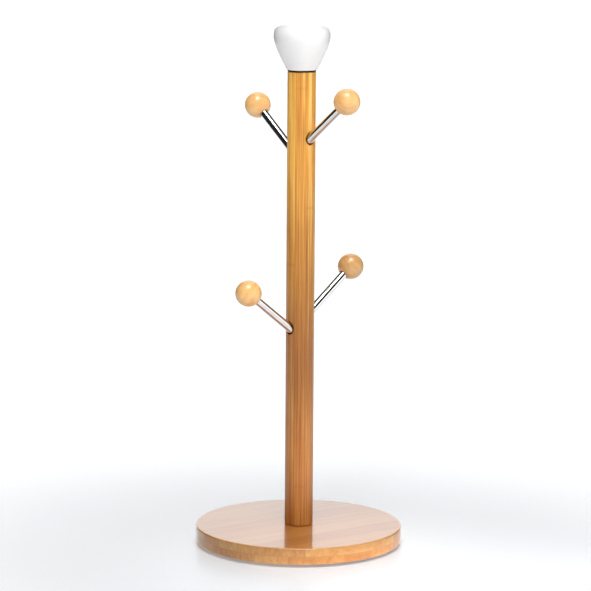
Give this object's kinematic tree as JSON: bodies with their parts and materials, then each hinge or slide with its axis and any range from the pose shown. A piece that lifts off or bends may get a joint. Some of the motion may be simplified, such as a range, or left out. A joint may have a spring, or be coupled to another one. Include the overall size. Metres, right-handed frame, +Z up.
{
  "type": "mug tree",
  "caption": "Mug tree: a round bamboo base and post with angled chrome arms that end in wooden balls, and a porcelain knob on top.",
  "frame": {"origin": "middle of the footprint, on the surface that the grip pads stand on", "axes": "+Z up the post; the upper right arm points towards +X and -Y, which is the front"},
  "size_m": [0.15, 0.15, 0.3807],
  "materials": {
    "bamboo_base": "satin lacquered laminated bamboo",
    "bamboo_post": "satin lacquered caramelised bamboo",
    "beech": "satin pale beech",
    "chrome": "polished chrome plate",
    "steel": "zinc plated steel",
    "brass": "plain brass",
    "porcelain": "clear glazed white porcelain",
    "gasket_rubber": "matt dark rubber",
    "pad_rubber": "matt dark rubber"
  },
  "bodies": {
    "stand": {"base_disc": "bamboo_base", "grip_pad_1": "pad_rubber", "grip_pad_2": "pad_rubber", "grip_pad_3": "pad_rubber", "grip_pad_4": "pad_rubber", "base_bolt": "steel", "base_washer": "steel", "foot_insert": "brass", "post": "bamboo_post", "post_top_insert": "brass", "upper_right_arm_insert": "brass", "upper_left_arm_insert": "brass", "lower_right_arm_insert": "brass", "lower_left_arm_insert": "brass"},
    "upper_right_stud": {"upper_right_arm_stud": "steel"},
    "upper_right_arm": {"upper_right_arm_rod": "chrome", "upper_right_arm_ball": "beech"},
    "upper_left_stud": {"upper_left_arm_stud": "steel"},
    "upper_left_arm": {"upper_left_arm_rod": "chrome", "upper_left_arm_ball": "beech"},
    "lower_right_stud": {"lower_right_arm_stud": "steel"},
    "lower_right_arm": {"lower_right_arm_rod": "chrome", "lower_right_arm_ball": "beech"},
    "lower_left_stud": {"lower_left_arm_stud": "steel"},
    "lower_left_arm": {"lower_left_arm_rod": "chrome", "lower_left_arm_ball": "beech"},
    "finial_stud": {"finial_stud": "steel"},
    "finial": {"finial_gasket": "gasket_rubber", "finial_knob": "porcelain"}
  },
  "joints": [
    {"name": "upper_right_arm_advance", "type": "slide", "parent": "stand", "child": "upper_right_stud", "axis": [0.5215, -0.6021, 0.6046], "range_m": [0, 0.0161]},
    {"name": "upper_right_arm_turn", "type": "hinge", "parent": "upper_right_stud", "child": "upper_right_arm", "pos_m": [0, 0, 0.29], "axis": [0.5215, -0.6021, 0.6046], "range_deg": [0, 8280]},
    {"name": "upper_left_arm_advance", "type": "slide", "parent": "stand", "child": "upper_left_stud", "axis": [-0.5215, 0.6021, 0.6046], "range_m": [0, 0.0161]},
    {"name": "upper_left_arm_turn", "type": "hinge", "parent": "upper_left_stud", "child": "upper_left_arm", "pos_m": [0, 0, 0.28], "axis": [-0.5215, 0.6021, 0.6046], "range_deg": [0, 8280]},
    {"name": "lower_right_arm_advance", "type": "slide", "parent": "stand", "child": "lower_right_stud", "axis": [0.6021, 0.5215, 0.6046], "range_m": [0, 0.0161]},
    {"name": "lower_right_arm_turn", "type": "hinge", "parent": "lower_right_stud", "child": "lower_right_arm", "pos_m": [0, 0, 0.1625], "axis": [0.6021, 0.5215, 0.6046], "range_deg": [0, 8280]},
    {"name": "lower_left_arm_advance", "type": "slide", "parent": "stand", "child": "lower_left_stud", "axis": [-0.6021, -0.5215, 0.6046], "range_m": [0, 0.0161]},
    {"name": "lower_left_arm_turn", "type": "hinge", "parent": "lower_left_stud", "child": "lower_left_arm", "pos_m": [0, 0, 0.1525], "axis": [-0.6021, -0.5215, 0.6046], "range_deg": [0, 8280]},
    {"name": "finial_advance", "type": "slide", "parent": "stand", "child": "finial_stud", "axis": [0, 0, 1], "range_m": [0, 0.015]},
    {"name": "finial_turn", "type": "hinge", "parent": "finial_stud", "child": "finial", "pos_m": [0, 0, 0.3447], "axis": [0, 0, 1], "range_deg": [0, 5400]}
  ],
  "couplings": [
    {"joint": "upper_right_arm_advance", "follows": "upper_right_arm_turn", "m_per_rad": 0.00011141},
    {"joint": "upper_left_arm_advance", "follows": "upper_left_arm_turn", "m_per_rad": 0.00011141},
    {"joint": "lower_right_arm_advance", "follows": "lower_right_arm_turn", "m_per_rad": 0.00011141},
    {"joint": "lower_left_arm_advance", "follows": "lower_left_arm_turn", "m_per_rad": 0.00011141},
    {"joint": "finial_advance", "follows": "finial_turn", "m_per_rad": 0.00015915}
  ]
}
